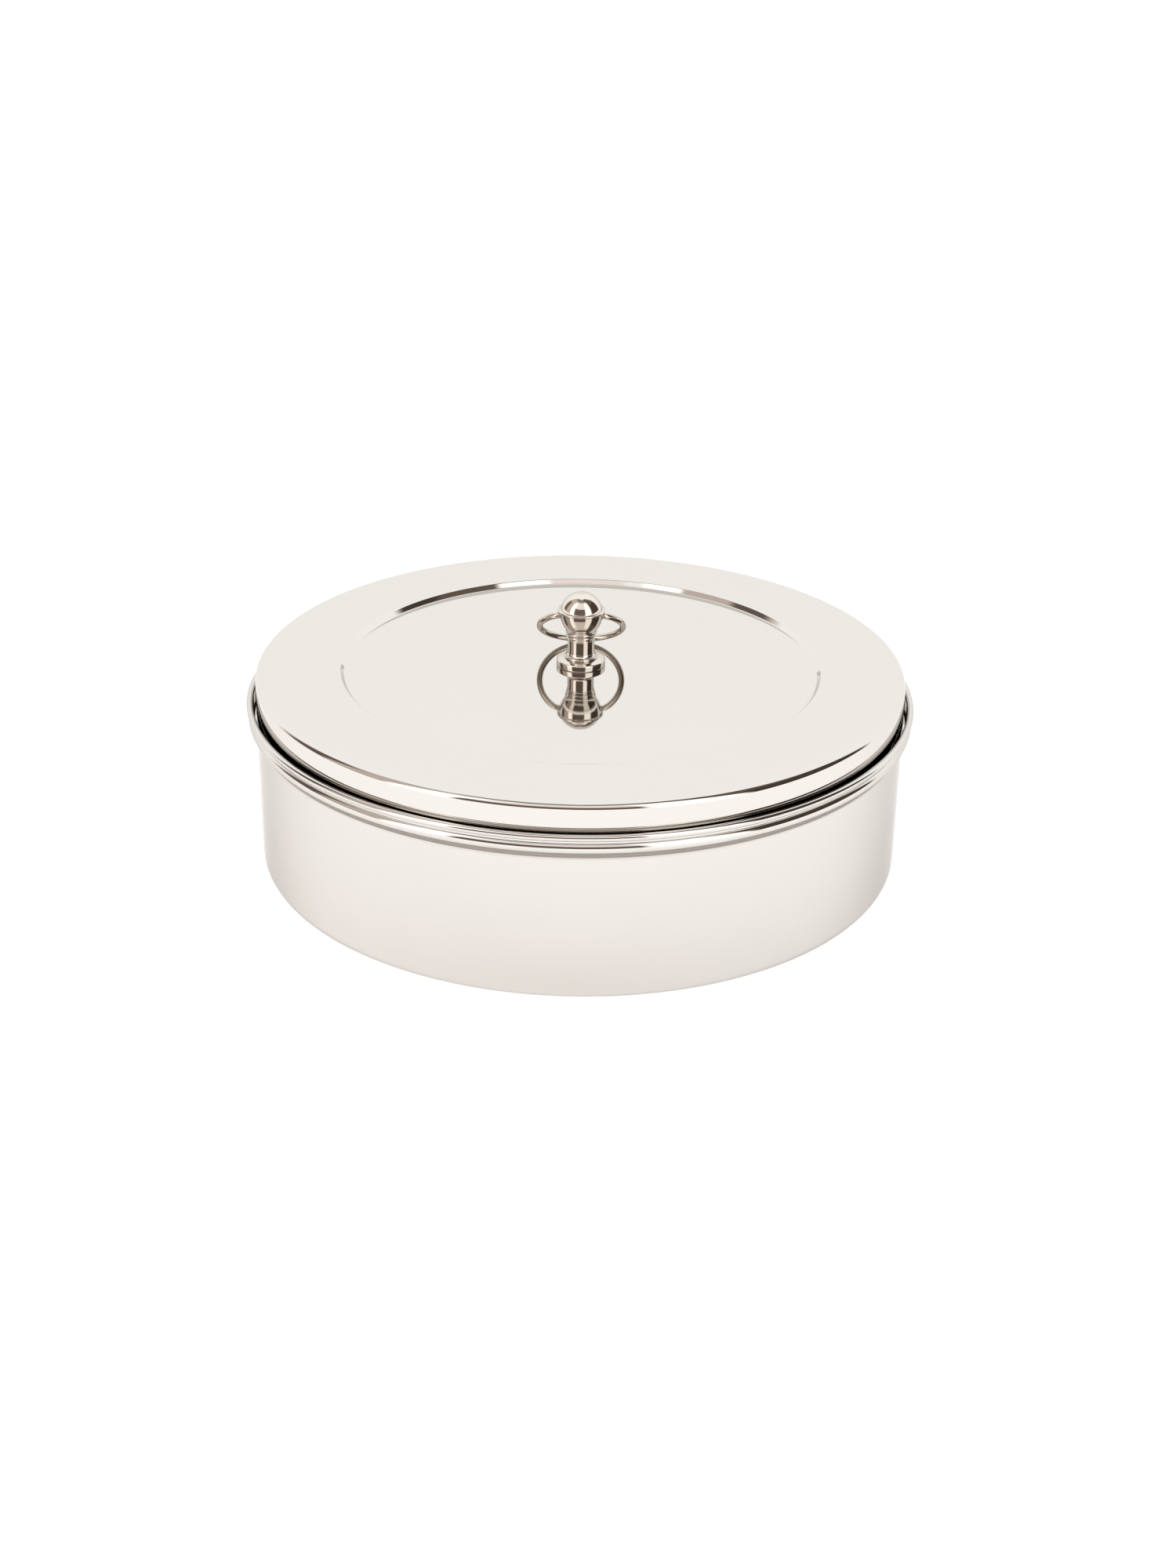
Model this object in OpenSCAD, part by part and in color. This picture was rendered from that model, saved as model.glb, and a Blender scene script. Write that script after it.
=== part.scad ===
// Round steel spice box with seven bowls, an inner plate, a spoon and a lid with a ring knob.
// Millimetres, +Z up. The origin is the middle of the box's underside, on the table.

/* [Box] */
// Radius of the rolled rim, the widest point
rim_r = 110; // [100:1:120]
// Height from the underside to the top of the rim
box_h = 57.4; // [55:0.2:70]
// Outer radius of the corner between the wall and the floor
corner_r = 4; // [2:0.5:8]
// Thickness of the sheet of the box, the lid and the inner plate
sheet = 0.8; // [0.6:0.1:1]

/* [Lid] */
// Height of the lid's top above the rim
lid_rise = 8.6; // [8:0.2:14]
// Radius of the sunken panel, halfway up its sloped edge
panel_r = 78.5; // [60:0.5:90]
// Height that the lid's border rises from its outer edge to the panel
border_rise = 0.5; // [0:0.1:1.5]
// Depth of the sunken panel at its edge
panel_depth = 1.7; // [1:0.1:3]
// Height that the panel rises towards the middle
panel_crown = 1.4; // [0.5:0.1:3]

/* [Knob and ring] */
// Largest radius of the knob's ball, below its lip
ball_r = 7.2; // [6.8:0.1:7.3]
// Height of the ball's centre above the knob's seat
ball_h = 18.3; // [17:0.1:20]
// Distance from the ring's axis up to the ball's centre
pivot_drop = 1.3; // [1:0.1:1.6]
// Radius of the wire of the ring
wire_r = 1; // [0.8:0.05:1]
// Radius of the ring, to the middle of its wire
ring_r = 13.8; // [13.5:0.1:14.5]
// Distance from the ring's axis to the middle of its circle
ring_offset = 11.2; // [10.6:0.1:11.3]

/* [Bowls] */
// Height of a bowl
bowl_h = 42; // [36:1:43]
// Thickness of a bowl's sheet
bowl_sheet = 0.6; // [0.5:0.1:0.8]
// Free space between two neighbouring bowls
bowl_gap = 0.8; // [0.5:0.1:2]

/* [Spoon] */
// Length of the spoon's handle
handle_l = 74; // [60:1:80]

/* [Hidden] */

$fn = 180;
rest_gap = 0.05;    // between two pieces where one rests on the other
run_gap = 0.05;     // between a shaft and its hole

// Box
wall_r = rim_r - 3;
foot_r = wall_r - 0.4;
bead_r = 1.1;
shoulder_r = 2;
fillet_r = 2.2;
collar_r = rim_r - 2 * bead_r;      // inside of the collar that takes the lid's skirt
ledge_z = box_h - 6.8;              // the ledge that the skirt stands on
wall_in = wall_r - sheet;

// Bowls: one in the middle and six around it fill the box from wall to wall
bowl_r = (wall_in - 2.2 - bowl_gap) / 3;
bowl_pitch = 2 * bowl_r + bowl_gap;
bowl_z = sheet + rest_gap;
bowl_bead = 0.8;
bowl_foot = bowl_r - 4.1;
bowl_corner = 9;

// Inner plate, on the bowls' rims
plate_z = bowl_z + bowl_h + rest_gap;
plate_r = wall_in - 1.7;
plate_top = plate_z + sheet;
plate_rim = 3.5;
plate_knob_h = 10.5;
rivet_r = 1.5;

// Spoon, lying on the inner plate
scoop_r = 15;
scoop_depth = 7.5;
scoop_sheet = 0.9;
spoon_x = -34;
spoon_y = -45;
handle_t = 1.2;
handle_steps = 24;

// Lid
lid_top = box_h + lid_rise;
skirt_r = rim_r - 3.2;
border_z = lid_top + border_rise;   // top of the border beside the panel
panel_z = border_z - panel_depth;
seat_z = panel_z + panel_crown;
seat_r = 10;
lid_corner = 2;
slope = 0.7;

// Knob, screwed on from below
pivot_h = ball_h - pivot_drop;
dome_r = ball_r - 0.35;
lip_r = ball_r + 0.6;
lip_t = 0.7;
lip_h = ball_h + 0.4;
knob_top = ball_h + dome_r - 0.25;
neck_r = 4.4;
ridge_h = 9.1;                      // lowest of the three turned ridges on the neck
pear_r = 10.8;                      // curve of the ball's lower side, which runs down to the neck
screw_r = 1.95;
screw_hole = screw_r + run_gap;
screw_reach = 8;
washer_t = 0.8;
washer_r = 5.5;
screw_head_r = 3.8;
screw_head_h = 2.2;

// Ring: it lies back until its far side is just clear of the panel
ring_rest = asin((pivot_h - wire_r - 0.15) / (ring_offset + ring_r));
ring_end = asin(ring_offset / ring_r);
ring_pin_x = ring_r * cos(ring_end);

function arc(x, y, r, from, to, steps = 6) =
    [for (i = [0:steps]) let (a = from + (to - from) * i / steps) [x + r * cos(a), y + r * sin(a)]];

module lathe(points) rotate_extrude() polygon(points);

module body_shell() {
    color("gainsboro") lathe(concat(
        [[0, 0]],
        arc(foot_r - corner_r, corner_r, corner_r, -90, 0),
        arc(wall_r + fillet_r, box_h - 9.6, fillet_r, 180, 125, 4),         // fillet under the collar
        arc(rim_r - 2.4, box_h - 4.8, shoulder_r, -60, 60, 8),              // shoulder bead
        arc(rim_r - bead_r, box_h - bead_r, bead_r, -105, 180, 19),         // rolled rim
        [[collar_r, ledge_z], [wall_in + 0.2, ledge_z], [wall_in, ledge_z - 0.6]],
        arc(foot_r - corner_r, corner_r, corner_r - sheet, 0, -90),
        [[0, sheet]]
    ));
}

module katori() {
    bead_z = bowl_h - bowl_bead;
    bead_x = bowl_r - bowl_bead;
    color("silver") lathe(concat(
        [[0, 0]],
        arc(bowl_foot - bowl_corner, bowl_corner, bowl_corner, -90, 0, 8),
        arc(bead_x, bead_z, bowl_bead, -100, 180, 12),
        arc(bowl_foot - bowl_corner, bowl_corner, bowl_corner - bowl_sheet, 0, -90, 8),
        [[0, bowl_sheet]]
    ));
}

module katori_center() translate([0, 0, bowl_z]) katori();

module katori_around(i) rotate([0, 0, 30 + 60 * i]) translate([bowl_pitch, 0, bowl_z]) katori();

module inner_plate() {
    color("silver") lathe(concat(
        [[rivet_r + run_gap, plate_z]],
        arc(plate_r - 2, plate_z + 2, 2, -90, 0),
        [[plate_r, plate_z + plate_rim], [plate_r - sheet, plate_z + plate_rim]],
        arc(plate_r - 2, plate_z + 2, 2 - sheet, 0, -90),
        [[rivet_r + run_gap, plate_top]]
    ));
}

module plate_knob() {
    cap_r = 7;
    cap_t = 3;
    color("silver") translate([0, 0, plate_top]) lathe(concat(
        [[rivet_r + run_gap, 0], [4.6, 0], [4.6, 0.8]],
        arc(5.2, 3.6, 2.2, 225, 135, 6),
        arc(cap_r - 1.2, plate_knob_h - cap_t + 1.2, 1.2, -70, 60, 8),
        [[3.5, plate_knob_h - 0.2], [0, plate_knob_h], [0, 6], [rivet_r + run_gap, 6]]
    ));
}

module plate_rivet() {
    head_r = 3.2;
    head_h = 1.1;
    color("darkgray") lathe([
        [0, plate_z - head_h], [head_r - 0.8, plate_z - head_h], [head_r, plate_z - 0.3],
        [head_r, plate_z], [rivet_r, plate_z], [rivet_r, plate_top + 5.8], [0, plate_top + 5.8]
    ]);
}

// Middle of the handle's sheet, from the scoop (0) to the tip (1)
function handle_x(s) = 12.1 + handle_l * s;
function handle_z(s) = 6.9 * (1 - s * s) + 0.65 * s * s + 4 * s * (1 - s);
function handle_half_w(s) = 2.6 - 1.2 * s + 3.2 * s * s;

module handle_side() polygon(concat(
    [for (i = [0:handle_steps]) let (s = i / handle_steps) [handle_x(s), handle_z(s) - handle_t / 2]],
    [for (i = [handle_steps:-1:0]) let (s = i / handle_steps) [handle_x(s), handle_z(s) + handle_t / 2]]
));

module handle_plan() {
    tip = 0.94;
    tip_w = handle_half_w(tip);
    bow = handle_x(1) - handle_x(tip);
    polygon(concat(
        [for (i = [0:handle_steps]) let (s = tip * i / handle_steps) [handle_x(s), -handle_half_w(s)]],
        [for (a = [-75:15:75]) [handle_x(tip) + bow * cos(a), tip_w * sin(a)]],
        [for (i = [handle_steps:-1:0]) let (s = tip * i / handle_steps) [handle_x(s), handle_half_w(s)]]
    ));
}

module spoon() {
    rim_a = -asin((scoop_r - scoop_depth) / scoop_r);
    color("silver") translate([spoon_x, spoon_y, plate_top + rest_gap]) {
        lathe(concat(
            arc(0, scoop_r, scoop_r, -90, rim_a, 14),
            arc(0, scoop_r, scoop_r - scoop_sheet, rim_a, -90, 14)
        ));
        intersection() {
            translate([0, 20, 0]) rotate([90, 0, 0]) linear_extrude(40) handle_side();
            linear_extrude(20) handle_plan();
        }
    }
}

// Height of the panel's top at radius r
function panel_at(r) = seat_z - panel_crown * pow((r - seat_r) / (panel_r - slope - seat_r), 2);

module lid_shell() {
    panel_radii = [for (i = [0:12]) seat_r + (panel_r - slope - seat_r) * i / 12];
    color("whitesmoke") lathe(concat(
        [[screw_hole + 0.2, seat_z]],
        [for (r = panel_radii) [r, panel_at(r)]],
        [[panel_r + slope, border_z]],
        arc(skirt_r - lid_corner, lid_top - lid_corner, lid_corner, 90, 0),
        [[skirt_r, ledge_z + rest_gap], [skirt_r - sheet, ledge_z + rest_gap]],
        arc(skirt_r - lid_corner, lid_top - lid_corner, lid_corner - sheet, 0, 90),
        [[panel_r + slope + 0.3, border_z - sheet], [panel_r - slope + 0.3, panel_z - sheet]],
        [for (i = [11:-1:0]) [panel_radii[i], panel_at(panel_radii[i]) - sheet]],
        [[screw_hole + 0.2, seat_z - sheet]]
    ));
}

module knob() {
    foot_rim = 8;
    color("gainsboro") translate([0, 0, seat_z]) difference() {
        lathe(concat(
            [[screw_hole, 0]],
            arc(foot_rim - 0.4, 0.4, 0.4, -90, 0, 3),
            arc(foot_rim - 0.6, 1.65, 0.6, 0, 80, 4),
            arc(5, 2.9, 0.45, -50, 80, 5),                                  // bead on the foot
            arc(neck_r + 1.3, 4.7, 1.3, 245, 180, 6),                       // flare up to the neck
            [for (i = [0:2]) each arc(neck_r - 0.1 + 0.3 * i, ridge_h + 1.2 * i, 0.3, -70, 70, 4)],
            arc(ball_r - pear_r, ball_h + 0.5, pear_r, -35, -2, 14),        // ball, below the lip
            [[lip_r - 0.2, lip_h], [lip_r, lip_h + 0.2], [lip_r, lip_h + lip_t - 0.2]],
            [[lip_r - 0.2, lip_h + lip_t], [dome_r * cos(asin(1.1 / dome_r)), lip_h + lip_t]],
            arc(0, ball_h, dome_r, asin(1.15 / dome_r), asin((knob_top - ball_h) / dome_r), 16),
            [[0, knob_top], [0, screw_reach + 1], [screw_hole, screw_reach + 1]]
        ));
        translate([0, 0, pivot_h]) rotate([0, 90, 0])
            cylinder(r = wire_r + run_gap, h = 4 * ball_r, center = true);
    }
}

module knob_washer() {
    color("darkgray") translate([0, 0, seat_z - sheet - washer_t]) difference() {
        cylinder(r = washer_r, h = washer_t);
        translate([0, 0, -1]) cylinder(r = screw_hole + 0.2, h = washer_t + 2);
    }
}

module knob_screw() {
    head_z = seat_z - sheet - washer_t - screw_head_h;
    slot_w = 1;
    slot_d = 1.1;
    color("darkgray") difference() {
        lathe([
            [0, head_z], [screw_head_r - 1, head_z], [screw_head_r, head_z + 1],
            [screw_head_r, head_z + screw_head_h], [screw_r, head_z + screw_head_h],
            [screw_r, seat_z + screw_reach - 0.5], [screw_r - 0.5, seat_z + screw_reach],
            [0, seat_z + screw_reach]
        ]);
        translate([-10, -slot_w / 2, head_z - 1]) cube([20, slot_w, slot_d + 1]);
    }
}

module knob_ring() {
    pin_in = 3;
    color("gainsboro") translate([0, 0, seat_z + pivot_h]) rotate([-ring_rest, 0, 0]) {
        translate([0, ring_offset, 0]) rotate([0, 0, -ring_end])
            rotate_extrude(angle = 180 + 2 * ring_end) translate([ring_r, 0]) circle(r = wire_r, $fn = 48);
        for (side = [-1, 1]) {
            translate([side * ring_pin_x, 0, 0]) sphere(r = wire_r + 0.04, $fn = 48);
            rotate([0, side * 90, 0]) translate([0, 0, pin_in])
                cylinder(r = wire_r, h = ring_pin_x - pin_in, $fn = 48);
        }
    }
}

body_shell();
katori_center();
katori_around(1);  // katori_1
katori_around(2);  // katori_2
katori_around(3);  // katori_3
katori_around(4);  // katori_4
katori_around(5);  // katori_5
katori_around(6);  // katori_6
inner_plate();
plate_knob();
plate_rivet();
spoon();
lid_shell();
knob();
knob_washer();
knob_screw();
knob_ring();
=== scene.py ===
# %% [markdown]
# # A round steel spice box with a ring knob
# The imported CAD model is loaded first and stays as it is: it says how large every piece is, where it sits
# and what it moves with. Everything below dresses that frame. Mirror-bright metal shows every flat facet,
# so each piece in sight is made again here as a finely divided, smooth surface of the same size, and only
# the small hidden fasteners keep their CAD meshes.

import math

import bmesh
import bpy
from mathutils import Matrix, Vector


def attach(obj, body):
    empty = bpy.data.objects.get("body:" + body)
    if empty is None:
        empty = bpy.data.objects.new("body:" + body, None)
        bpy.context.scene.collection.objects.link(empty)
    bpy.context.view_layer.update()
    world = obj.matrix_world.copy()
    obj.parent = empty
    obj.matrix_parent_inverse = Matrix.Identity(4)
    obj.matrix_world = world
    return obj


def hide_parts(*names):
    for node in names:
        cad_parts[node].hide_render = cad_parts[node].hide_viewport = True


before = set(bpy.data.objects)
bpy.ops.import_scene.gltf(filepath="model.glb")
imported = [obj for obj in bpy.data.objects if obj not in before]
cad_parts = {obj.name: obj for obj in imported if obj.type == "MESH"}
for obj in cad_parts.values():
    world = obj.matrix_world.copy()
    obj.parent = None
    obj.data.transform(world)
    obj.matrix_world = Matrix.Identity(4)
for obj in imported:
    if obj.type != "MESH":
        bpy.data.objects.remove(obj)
scene = bpy.context.scene
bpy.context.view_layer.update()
MM = 0.001

# %% [markdown]
# ## Camera
# A product picture of a low box is taken from a little above the lid, from less than a metre away. The
# camera is set up the way a photographer would do it: walk to a distance, raise the camera, aim at the
# middle of the box, and then tilt it down a little so that the box sits above the middle of the frame.

# %% Camera
ELEVATION = math.radians(22.07)
DISTANCE = 800 * MM
AIM_HEIGHT = 73 * MM
FOCAL_LENGTH, SENSOR = 55.7, 36         # the sensor's long side stands upright
PAN = math.radians(-0.209)
TILT = math.radians(3.286)
ROLL = math.radians(-0.78)


def make_camera():
    """A camera in front of the box (-Y), aimed at its axis, then panned, tilted and rolled a little."""
    forward = Vector((0, math.cos(ELEVATION), -math.sin(ELEVATION)))
    right = Vector((1, 0, 0))
    up = right.cross(forward).normalized()
    place = Vector((0, 0, AIM_HEIGHT)) - DISTANCE * forward
    aimed = Matrix((right, up, forward))
    tilt = Matrix.Rotation(-TILT, 3, "X")
    pan = Matrix.Rotation(PAN, 3, "Y")
    roll = Matrix.Rotation(ROLL, 3, "Z")
    right, up, forward = roll @ pan @ tilt @ aimed
    data = bpy.data.cameras.new("Studio camera")
    data.sensor_fit = "VERTICAL"
    data.sensor_height = SENSOR
    data.lens = FOCAL_LENGTH
    data.clip_start = 0.01
    camera = bpy.data.objects.new("Studio camera", data)
    camera.matrix_world = Matrix.Translation(place) @ Matrix((right, up, -forward)).transposed().to_4x4()
    scene.collection.objects.link(camera)
    return camera


scene.camera = make_camera()
print("camera at", [round(v, 3) for v in scene.camera.location])

# %% [markdown]
# ## Small helpers for node trees
# Materials, the studio and the lathe below are all node trees. Three helpers keep them short: one adds a
# node and fills or links its inputs in one call, one does sums with Math nodes, and one maps a range of
# values onto another range.

# %% Helpers for node trees
def add(tree, kind, links=None, **settings):
    """A new node. links maps an input's name or number to a value or to another node's output."""
    made = tree.nodes.new(kind)
    for key, value in settings.items():
        setattr(made, key, value)
    for key, value in (links or {}).items():
        if isinstance(value, bpy.types.NodeSocket):
            tree.links.new(value, made.inputs[key])
        else:
            made.inputs[key].default_value = value
    return made


def calc(tree, operation, a, b=0.0):
    """The output of one Math node."""
    return add(tree, "ShaderNodeMath", {0: a, 1: b}, operation=operation).outputs[0]


def ramp(tree, value, low, high, at_low, at_high, shape="LINEAR"):
    """at_low where value is low, at_high where it is high, and in between a straight line or an S-curve."""
    limits = {"Value": value, "From Min": low, "From Max": high, "To Min": at_low, "To Max": at_high}
    return add(tree, "ShaderNodeMapRange", limits, interpolation_type=shape).outputs[0]


# %% [markdown]
# ## Studio
# Polished steel has hardly any colour of its own: it shows the room. So the room is designed first, as a
# colour for each direction, which needs no walls that would get in the way of other views. Behind the box
# everything is white, and overhead too, apart from a dim strip of ceiling. On the photographer's side there
# is a white scrim above, two tall softboxes, and between and beside them the dim, warm, unlit parts of a
# room. Those parts give each rolled edge its white dashes and dark stretches.

# %% Room
WHITE = (1.34, 1.34, 1.33)          # what the metal sees
BACKDROP = (1.1, 1.1, 1.1)          # what the camera sees
ROOM = (  # name, bearings from and to (degrees, 0 in front, to the right), angles above the floor, blur, colour
    ("ceiling strip", -125, 125, 69, 89, 2, (0.36, 0.295, 0.25)),
    ("left wall", -119, -64, -20, 70, 4, (0.74, 0.63, 0.56)),
    ("left doorway", -114, -94, 2, 44, 3, (0.17, 0.13, 0.11)),
    ("photographer", -43, 23, -20, 34, 3, (0.19, 0.15, 0.125)),
    ("scrim", -30, 58, 34, 69, 3, (1.22, 1.11, 1.06)),
    ("right wall", 56, 114, 40, 80, 4, (0.17, 0.13, 0.105)),
    ("right curtain", 58, 112, -20, 44, 3, (0.085, 0.062, 0.050)),
    ("left softbox", -66, -43, -20, 58, 3, (2.2, 2.15, 2.1)),
    ("right softbox", 23, 56, -20, 62, 3, (1.9, 1.85, 1.8)),
)


def window(tree, value, low, high, soft):
    """1 between two angles and 0 outside, with a soft edge."""
    rise = ramp(tree, value, low - soft, low + soft, 0.0, 1.0, "SMOOTHSTEP")
    fall = ramp(tree, value, high + soft, high - soft, 0.0, 1.0, "SMOOTHSTEP")
    return calc(tree, "MULTIPLY", rise, fall)


def make_room():
    """The world: white, with the room's parts painted over it one after the other."""
    world = bpy.data.worlds.new("Studio room")
    world.use_nodes = True
    tree = world.node_tree
    tree.nodes.clear()
    direction = add(tree, "ShaderNodeTexCoord").outputs["Generated"]
    part = add(tree, "ShaderNodeSeparateXYZ", {0: direction}).outputs
    toward = calc(tree, "MULTIPLY", part["Y"], -1.0)
    bearing = calc(tree, "DEGREES", calc(tree, "ARCTAN2", part["X"], toward))
    height = calc(tree, "DEGREES", calc(tree, "ARCSINE", part["Z"]))
    shade = (*WHITE, 1)
    for name, left, right, low, high, blur, colour in ROOM:
        inside = calc(tree, "MULTIPLY", window(tree, bearing, left, right, blur),
                      window(tree, height, low, high, blur / 2))
        shade = add(tree, "ShaderNodeMix", {0: inside, 6: shade, 7: (*colour, 1)}, data_type="RGBA",
                    label=name).outputs[2]
    seen = add(tree, "ShaderNodeLightPath").outputs["Is Camera Ray"]
    shown = add(tree, "ShaderNodeMix", {0: seen, 6: shade, 7: (*BACKDROP, 1)}, data_type="RGBA")
    background = add(tree, "ShaderNodeBackground", {"Color": shown.outputs[2]})
    add(tree, "ShaderNodeOutputWorld", {0: background.outputs[0]})
    scene.world = world


make_room()
scene.view_settings.view_transform = "Standard"
print("room:", [name for name, *_ in ROOM])

# %% [markdown]
# ## Floor
# The box stands on a sheet of white paper that reaches far beyond the picture. Paper that is lit by the room
# alone comes out grey near the box. A studio puts extra light on it until only a soft shadow is left, and
# here the paper glows a little by itself for the same reason, more in front of the box than behind it. Its
# colour barely changes from place to place, as paper's does.

# %% Floor
FLOOR_REACH = 12                                                        # metres
PAPER = ((0.89, 0.895, 0.905), (0.90, 0.905, 0.915))
GLOW_FRONT, GLOW_BACK, GLOW_FROM, GLOW_TO = 0.62, 0.48, -0.3, 0.2       # strengths, and metres along Y


def make_floor():
    """A plain white sheet, far larger than the picture."""
    corners = [(FLOOR_REACH * x, FLOOR_REACH * y, 0) for x, y in ((-1, -1), (1, -1), (1, 1), (-1, 1))]
    mesh = bpy.data.meshes.new("Floor")
    mesh.from_pydata(corners, [], [(0, 1, 2, 3)])
    floor = bpy.data.objects.new("Floor", mesh)
    scene.collection.objects.link(floor)
    paint = bpy.data.materials.new("White paper")
    paint.use_nodes = True
    tree = paint.node_tree
    paper = tree.nodes["Principled BSDF"]
    place = add(tree, "ShaderNodeTexCoord").outputs["Object"]
    fibre = add(tree, "ShaderNodeTexNoise", {"Vector": place, "Scale": 40.0, "Detail": 3.0}).outputs[0]
    shade = add(tree, "ShaderNodeMix", {0: fibre, 6: (*PAPER[0], 1), 7: (*PAPER[1], 1)}, data_type="RGBA")
    tree.links.new(shade.outputs[2], paper.inputs["Base Color"])
    paper.inputs["Roughness"].default_value = 0.9
    paper.inputs["Specular IOR Level"].default_value = 0.0
    paper.inputs["Emission Color"].default_value = (1, 1, 1, 1)
    back = add(tree, "ShaderNodeSeparateXYZ", {0: place}).outputs["Y"]
    glow = ramp(tree, back, GLOW_FROM, GLOW_TO, GLOW_FRONT, GLOW_BACK, "SMOOTHSTEP")
    tree.links.new(glow, paper.inputs["Emission Strength"])
    mesh.materials.append(paint)
    return floor


print("floor:", 2 * FLOOR_REACH, "m wide:", make_floor().name)

# %% [markdown]
# ## Steel and nickel
# The box is drawn from stainless sheet and then polished on a spinning chuck, so any mark that polishing
# leaves runs round the piece. An image of such marks would have to be painted. A noise texture is easier: it
# is read along the piece's own turned coordinate (which way round, and how far along the section), stretched
# so that it makes fine rings. The rings barely tint the metal, vary its gloss and raise a bump of less than
# a thousandth of a millimetre. A second, broad noise gives the slight cloudiness of a wiped surface.

# %% Turned metal
RINGS = (1.4, 1.4, 2600.0)          # how fast the ring noise changes: slowly round the piece, fast along it


def turned_metal(name, tint, roughness, ring_depth, cloud,
                 haze=0.03, waver=0.0, limb=0.8, bright_from=None):
    """Metal polished on a lathe. The piece carries a point attribute, turned: (cos, sin, metres along).

    ring_depth is the height of the polishing rings, cloud the share by which the gloss varies and haze the
    share by which the tint does. waver is the height of slow waves in the sheet, limb the share of light
    that is left where the metal is seen edge-on, and bright_from a height above which it is glossier.
    """
    metal = bpy.data.materials.new(name)
    metal.use_nodes = True
    tree = metal.node_tree
    surface = tree.nodes["Principled BSDF"]
    surface.inputs["Metallic"].default_value = 1.0
    turned = add(tree, "ShaderNodeAttribute", attribute_name="turned").outputs["Vector"]
    around = add(tree, "ShaderNodeVectorMath", {0: turned, 1: RINGS}, operation="MULTIPLY").outputs[0]
    rings = add(tree, "ShaderNodeTexNoise", {"Vector": around, "Scale": 1.0, "Detail": 3.0,
                                             "Roughness": 0.6}).outputs[0]
    place = add(tree, "ShaderNodeTexCoord").outputs["Object"]
    wiped = add(tree, "ShaderNodeTexNoise", {"Vector": place, "Scale": 38.0, "Detail": 2.0,
                                             "Distortion": 0.6}).outputs[0]
    light = [min(1.0, c * (1 + haze)) for c in tint]
    dark = [c * (1 - haze) for c in tint]
    both = calc(tree, "ADD", calc(tree, "MULTIPLY", rings, 0.5), calc(tree, "MULTIPLY", wiped, 0.5))
    colour = add(tree, "ShaderNodeMix", {0: both, 6: (*dark, 1), 7: (*light, 1)}, data_type="RGBA")
    tree.links.new(colour.outputs[2], surface.inputs["Base Color"])
    surface.inputs["Specular Tint"].default_value = (limb, limb * 0.985, limb * 0.965, 1)
    gloss = ramp(tree, both, 0.3, 0.7, roughness * (1 - cloud), roughness * (1 + cloud))
    if bright_from is not None:
        height = add(tree, "ShaderNodeSeparateXYZ", {0: place}).outputs["Z"]
        share = ramp(tree, height, bright_from, bright_from + 2 * MM, 1.0, 0.4)
        gloss = calc(tree, "MULTIPLY", gloss, share)
    tree.links.new(gloss, surface.inputs["Roughness"])
    normal = add(tree, "ShaderNodeBump", {"Strength": 0.4, "Distance": ring_depth, "Height": rings}).outputs[0]
    if waver:
        slow = add(tree, "ShaderNodeTexNoise", {"Vector": place, "Scale": 22.0, "Detail": 1.0}).outputs[0]
        normal = add(tree, "ShaderNodeBump", {"Strength": 1.0, "Distance": waver, "Height": slow,
                                              "Normal": normal}).outputs[0]
    tree.links.new(normal, surface.inputs["Normal"])
    return metal


BOX_STEEL = turned_metal("Box steel", (0.63, 0.61, 0.585), 0.12, 0.0006 * MM, 0.25, haze=0.025,
                         waver=0.02 * MM, limb=0.70, bright_from=46 * MM)
LID_STEEL = turned_metal("Lid steel", (0.645, 0.625, 0.60), 0.045, 0.0002 * MM, 0.35, haze=0.012, limb=0.85)
BOWL_STEEL = turned_metal("Bowl steel", (0.61, 0.60, 0.585), 0.12, 0.0010 * MM, 0.35)
PLATE_STEEL = turned_metal("Plate steel", (0.62, 0.61, 0.595), 0.10, 0.0008 * MM, 0.35)
KNOB_NICKEL = turned_metal("Knob nickel", (0.68, 0.635, 0.58), 0.10, 0.0006 * MM, 0.30, limb=0.6)
print("turned metals:", [m.name for m in bpy.data.materials])

# %% [markdown]
# ## The lathe, as a Geometry Nodes tree
# Nearly every piece is a turned or spun shape, so its form follows one rule: a section swept round an axis.
# The tree is that rule. It takes a section drawn as a chain of points, lays a grid with one row per point
# and one column per step round the axis, and bends the grid into shape. It also writes the turned
# coordinate that the metal reads, and it can set a finished piece down away from the axis, which is how
# the ring of bowls is laid out. A screw modifier would turn the section too, but it writes no coordinate.

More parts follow.
